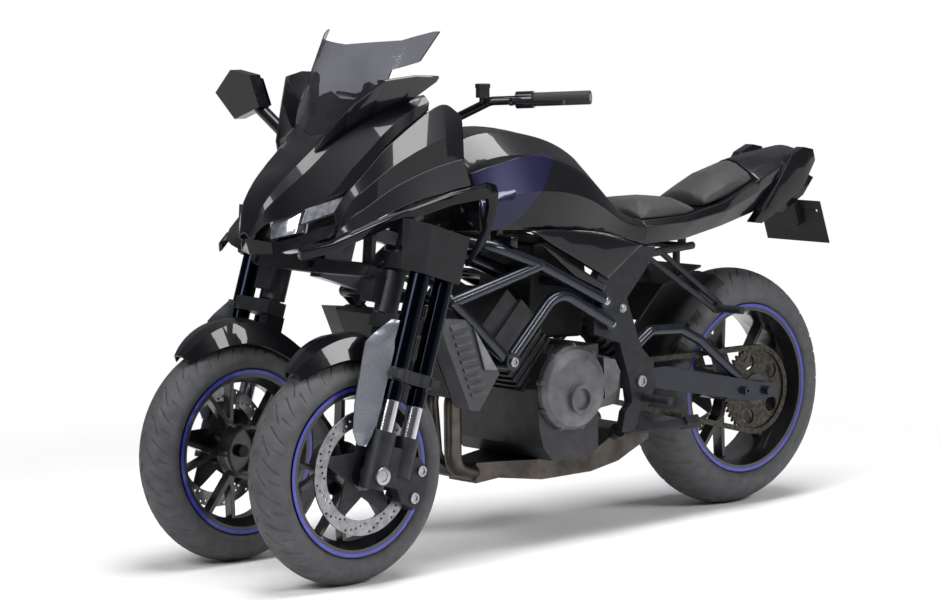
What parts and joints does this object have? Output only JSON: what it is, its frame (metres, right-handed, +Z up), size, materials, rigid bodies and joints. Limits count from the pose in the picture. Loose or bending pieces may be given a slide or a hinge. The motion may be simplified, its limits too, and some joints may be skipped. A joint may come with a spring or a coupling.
{
  "type": "reverse trike",
  "caption": "Leaning reverse trike: twin steered front wheels on outboard fork legs, tubular frame, faceted cowl, screen and one driven rear wheel.",
  "frame": {"origin": "on the ground under the middle of the vehicle's length and width", "axes": "+X forward, +Y to the rider's left, +Z up"},
  "size_m": [2.1048, 0.8594, 1.302],
  "materials": {
    "paint_black": "gloss",
    "paint_blue": "gloss",
    "frame_paint": "satin",
    "black_metal": "satin",
    "engine_metal": "satin",
    "exhaust_steel": "satin",
    "black_plastic": "satin",
    "fork_tube": "gloss",
    "guard_silver": "satin",
    "wheel_paint": "gloss",
    "disc_steel": "brushed",
    "chain_steel": "satin",
    "spring_steel": "satin",
    "tyre": "matte",
    "rubber": "matte",
    "seat_cover": "matte",
    "screen": "gloss",
    "lens": "gloss",
    "red_lens": "gloss"
  },
  "bodies": {
    "chassis": {"caliper_rear": "black_metal", "chin": "black_plastic", "cowl_wings": "paint_black", "drive_chain": "chain_steel", "engine_block": "engine_metal", "engine_covers": "engine_metal", "exhaust": "exhaust_steel", "fairing_bands": "paint_black", "footpegs": "black_metal", "frame": "frame_paint", "fuel_tank": "paint_black", "headlamps": "lens", "instrument": "black_plastic", "lean_linkage": "black_metal", "mirror": "black_plastic", "nose_cowl": "paint_black", "pillion_seat": "seat_cover", "pivot_plates": "black_metal", "plate_hanger": "black_plastic", "radiator": "engine_metal", "radiator_shrouds": "black_plastic", "rear_mudguard": "black_plastic", "rear_shock": "spring_steel", "seat": "seat_cover", "side_covers": "paint_black", "side_cowls": "paint_black", "subframe": "black_metal", "swingarm": "frame_paint", "tail_fairing": "paint_black", "tail_lamp": "red_lens", "tank_panels": "paint_blue", "windscreen": "screen"},
    "handlebar": {"handlebar": "black_metal", "grips": "rubber", "hand_controls": "black_metal"},
    "steering_link": {"steering_link": "black_metal"},
    "fork_left": {"fork_castings_left": "black_metal", "fork_legs_left": "fork_tube", "caliper_front_left": "black_metal", "fender_front_left": "paint_black", "fork_guard_left": "guard_silver", "fork_cover_left": "black_plastic"},
    "fork_right": {"fork_castings_right": "black_metal", "fork_legs_right": "fork_tube", "caliper_front_right": "black_metal", "fender_front_right": "paint_black", "fork_guard_right": "guard_silver", "fork_cover_right": "black_plastic"},
    "front_wheel_left": {"tyre_front_left": "tyre", "wheel_front_left": "wheel_paint", "disc_front_left": "disc_steel"},
    "front_wheel_right": {"tyre_front_right": "tyre", "wheel_front_right": "wheel_paint", "disc_front_right": "disc_steel"},
    "rear_wheel": {"tyre_rear": "tyre", "wheel_rear": "wheel_paint", "disc_rear": "disc_steel", "sprocket_rear": "disc_steel"},
    "side_stand": {"side_stand": "black_metal"}
  },
  "joints": [
    {"name": "steering", "type": "hinge", "parent": "chassis", "child": "handlebar", "pos_m": [0.41136, 0, 0.85459], "axis": [-0.3007, 0, 0.9537], "range_deg": [-28, 28]},
    {"name": "fork_left_steer", "type": "hinge", "parent": "chassis", "child": "fork_left", "pos_m": [0.64717, 0.215, 0.67205], "axis": [-0.3007, 0, 0.9537], "range_deg": [-28, 28]},
    {"name": "fork_right_steer", "type": "hinge", "parent": "chassis", "child": "fork_right", "pos_m": [0.64717, -0.215, 0.67205], "axis": [-0.3007, 0, 0.9537], "range_deg": [-28, 28]},
    {"name": "link_pivot", "type": "hinge", "parent": "handlebar", "child": "steering_link", "pos_m": [0.38795, 0, 0.67945], "axis": [-0.3007, 0, 0.9537], "range_deg": [-28, 28]},
    {"name": "front_left_spin", "type": "hinge", "parent": "fork_left", "child": "front_wheel_left", "pos_m": [0.783, 0.215, 0.2745], "axis": [0, 1, 0], "continuous": true},
    {"name": "front_right_spin", "type": "hinge", "parent": "fork_right", "child": "front_wheel_right", "pos_m": [0.783, -0.215, 0.2745], "axis": [0, 1, 0], "continuous": true},
    {"name": "rear_spin", "type": "hinge", "parent": "chassis", "child": "rear_wheel", "pos_m": [-0.727, 0, 0.3205], "axis": [0, 1, 0], "continuous": true},
    {"name": "side_stand_fold", "type": "hinge", "parent": "chassis", "child": "side_stand", "pos_m": [-0.17, 0.15, 0.262], "axis": [0, -0.809, -0.5878], "range_deg": [0, 105]}
  ],
  "couplings": [
    {"joint": "fork_left_steer", "follows": "steering", "ratio": 1},
    {"joint": "fork_right_steer", "follows": "steering", "ratio": 1},
    {"joint": "link_pivot", "follows": "steering", "ratio": -1}
  ]
}
